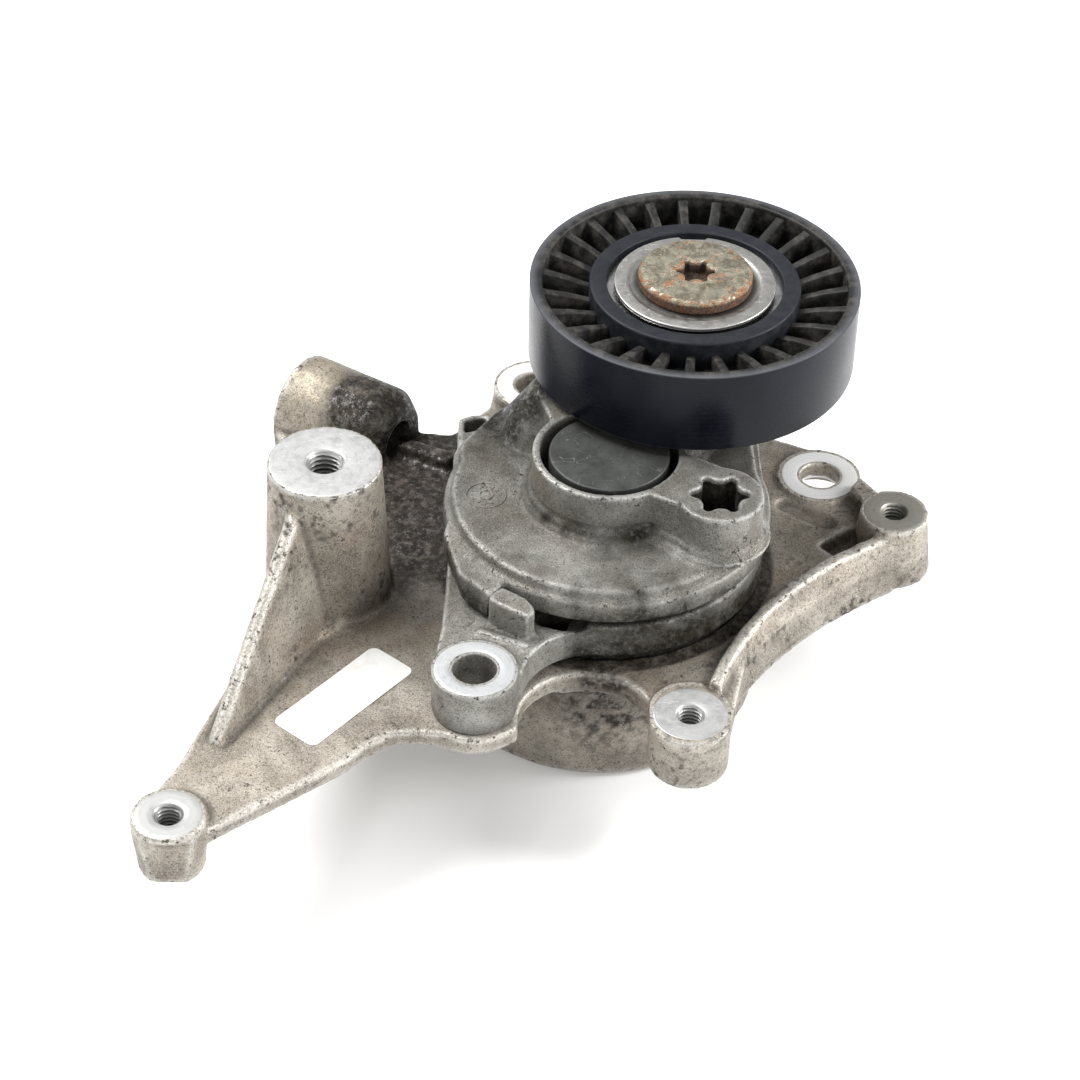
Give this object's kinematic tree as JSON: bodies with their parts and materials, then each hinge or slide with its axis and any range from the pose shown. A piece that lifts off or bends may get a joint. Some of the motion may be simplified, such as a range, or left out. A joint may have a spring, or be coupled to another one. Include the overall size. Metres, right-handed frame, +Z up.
{
  "type": "belt tensioner with idler pulley and accessory bracket",
  "caption": "Sprung belt tensioner with a smooth-faced, finned idler pulley on a pivoting arm, bolted by its base into the cup of a cast alloy accessory bracket with bosses, a gusset and a side lug.",
  "frame": {"origin": "arm pivot axis, level with the top face of the bracket plate", "axes": "+Z up the pivot axis towards the idler pulley, +Y away from the scalloped front edge of the bracket, +X from the tall boss towards the right-hand boss"},
  "size_m": [0.1755, 0.1705, 0.0902],
  "materials": {
    "cast_bracket": "weathered as-cast with machined boss faces",
    "label_paper": "matt film",
    "cast_tensioner": "grey as-cast",
    "shaft_steel": "ground",
    "plate_steel": "phosphated",
    "bolt_steel": "zinc plated with light rust",
    "cap_plastic": "matt, scratched",
    "bush_plastic": "matt",
    "thrust_brass": "dull",
    "friction_plastic": "matt",
    "spring_steel": "oiled",
    "washer_steel": "zinc plated",
    "bearing_steel": "ground",
    "cage_brass": "pressed",
    "seal_rubber": "matt",
    "pulley_plastic": "satin, belt-polished outside"
  },
  "bodies": {
    "bracket": {"bracket_casting": "cast_bracket", "blank_label": "label_paper", "tensioner_base": "cast_tensioner", "pivot_shaft": "shaft_steel", "front_plate": "plate_steel", "centre_bolt": "bolt_steel", "pivot_cap": "cap_plastic", "torsion_spring": "spring_steel"},
    "arm": {"tensioner_arm": "cast_tensioner", "upper_bush": "bush_plastic", "lower_bush": "bush_plastic", "friction_ring": "friction_plastic", "thrust_washer": "thrust_brass", "rear_dust_washer": "washer_steel", "bearing_inner_ring": "bearing_steel", "front_dust_washer": "washer_steel", "pulley_bolt": "bolt_steel"},
    "pulley": {"idler_pulley": "pulley_plastic", "bearing_outer_ring": "bearing_steel", "upper_seal": "seal_rubber", "lower_seal": "seal_rubber"},
    "ball_cage": {"bearing_cage": "cage_brass", "bearing_balls": "bearing_steel"}
  },
  "joints": [
    {"name": "arm_pivot", "type": "hinge", "parent": "bracket", "child": "arm", "pos_m": [0, 0, 0], "axis": [0, 0, 1], "range_deg": [-60, 0]},
    {"name": "pulley_spin", "type": "hinge", "parent": "arm", "child": "pulley", "pos_m": [0.01895, 0.03625, 0.0436], "axis": [0, 0, 1], "continuous": true},
    {"name": "cage_spin", "type": "hinge", "parent": "arm", "child": "ball_cage", "pos_m": [0.01895, 0.03625, 0.045], "axis": [0, 0, 1], "continuous": true}
  ],
  "couplings": [
    {"joint": "cage_spin", "follows": "pulley_spin", "ratio": 0.6024}
  ]
}
